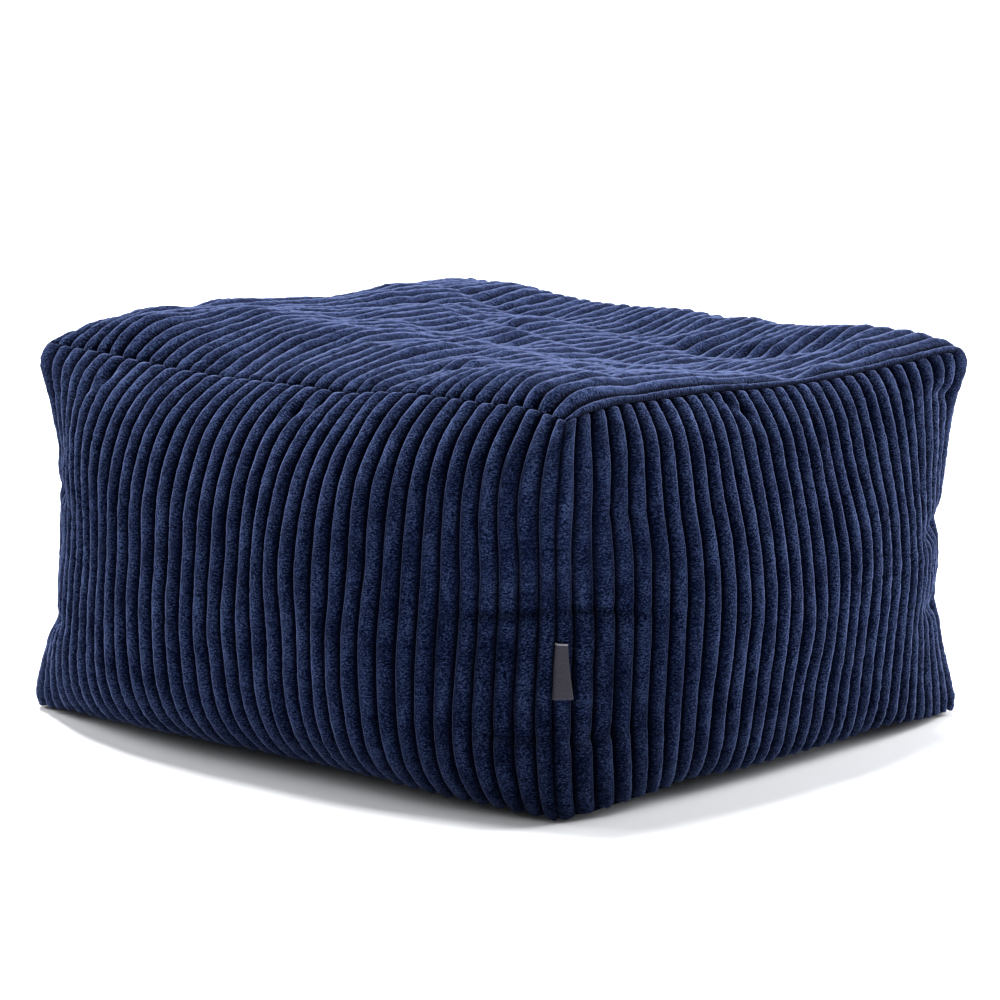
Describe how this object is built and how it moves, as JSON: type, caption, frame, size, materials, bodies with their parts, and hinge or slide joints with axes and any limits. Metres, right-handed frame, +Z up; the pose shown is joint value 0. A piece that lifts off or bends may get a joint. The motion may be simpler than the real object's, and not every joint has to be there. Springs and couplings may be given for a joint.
{
  "type": "bean bag footstool",
  "caption": "Box-shaped bean bag footstool in navy wide-wale cord, with bulged sides drawn in at the upright seams, a soft crowned top and a small bare folded side label.",
  "frame": {"origin": "on the ground, under the middle of the bag", "axes": "+Z up; +X along the longer side, towards the right panel; the front panel faces -Y, and the label is in the upright seam between the front and right panels"},
  "size_m": [0.6626, 0.6262, 0.3251],
  "materials": {
    "cord": "deep soft pile of a wide-wale cord, navy",
    "label_tape": "fine dark grey woven tape, folded"
  },
  "bodies": {
    "root": {"filled_bag": "cord", "side_label": "label_tape"}
  },
  "joints": []
}
